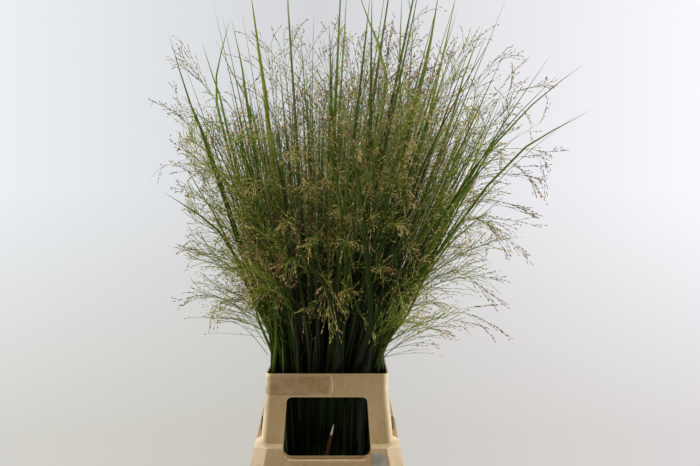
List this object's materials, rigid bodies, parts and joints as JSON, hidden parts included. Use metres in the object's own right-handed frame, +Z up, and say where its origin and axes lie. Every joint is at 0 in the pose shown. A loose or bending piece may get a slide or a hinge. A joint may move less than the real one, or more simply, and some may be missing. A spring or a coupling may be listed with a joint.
{
  "type": "cut switchgrass in a flower bucket",
  "caption": "Cut switchgrass with airy panicles fanning out of a rectangular flower bucket, held by a tapered collar with a window in each side.",
  "frame": {"origin": "on the floor, under the middle of the bucket's base", "axes": "+Z up along the stems, -Y towards the short side that faces the viewer, +X to its right along that side"},
  "size_m": [0.8686, 0.8495, 1.265],
  "materials": {
    "bucket_plastic": "satin",
    "collar_plastic": "satin",
    "label_paper": "matte",
    "water": "gloss",
    "grass": "satin",
    "spikelets": "matte"
  },
  "bodies": {
    "root": {"bucket": "bucket_plastic", "collar": "collar_plastic", "label": "label_paper", "water": "water", "leafy_stem_01": "grass", "panicle_01": "spikelets", "leafy_stem_02": "grass", "panicle_02": "spikelets", "leafy_stem_03": "grass", "panicle_03": "spikelets", "leafy_stem_04": "grass", "panicle_04": "spikelets", "leafy_stem_05": "grass", "panicle_05": "spikelets", "leafy_stem_06": "grass", "panicle_06": "spikelets", "leafy_stem_07": "grass", "panicle_07": "spikelets", "leafy_stem_08": "grass", "panicle_08": "spikelets", "leafy_stem_09": "grass", "panicle_09": "spikelets", "leafy_stem_10": "grass", "panicle_10": "spikelets", "leafy_stem_11": "grass", "panicle_11": "spikelets", "leafy_stem_12": "grass", "panicle_12": "spikelets", "leafy_stem_13": "grass", "panicle_13": "spikelets", "leafy_stem_14": "grass", "panicle_14": "spikelets", "leafy_stem_15": "grass", "panicle_15": "spikelets", "leafy_stem_16": "grass", "panicle_16": "spikelets", "leafy_stem_17": "grass", "panicle_17": "spikelets", "leafy_stem_18": "grass", "panicle_18": "spikelets", "leafy_stem_19": "grass", "panicle_19": "spikelets", "leafy_stem_20": "grass", "panicle_20": "spikelets", "leafy_stem_21": "grass", "panicle_21": "spikelets", "leafy_stem_22": "grass", "panicle_22": "spikelets", "leafy_stem_23": "grass", "panicle_23": "spikelets", "leafy_stem_24": "grass", "panicle_24": "spikelets"}
  },
  "joints": []
}
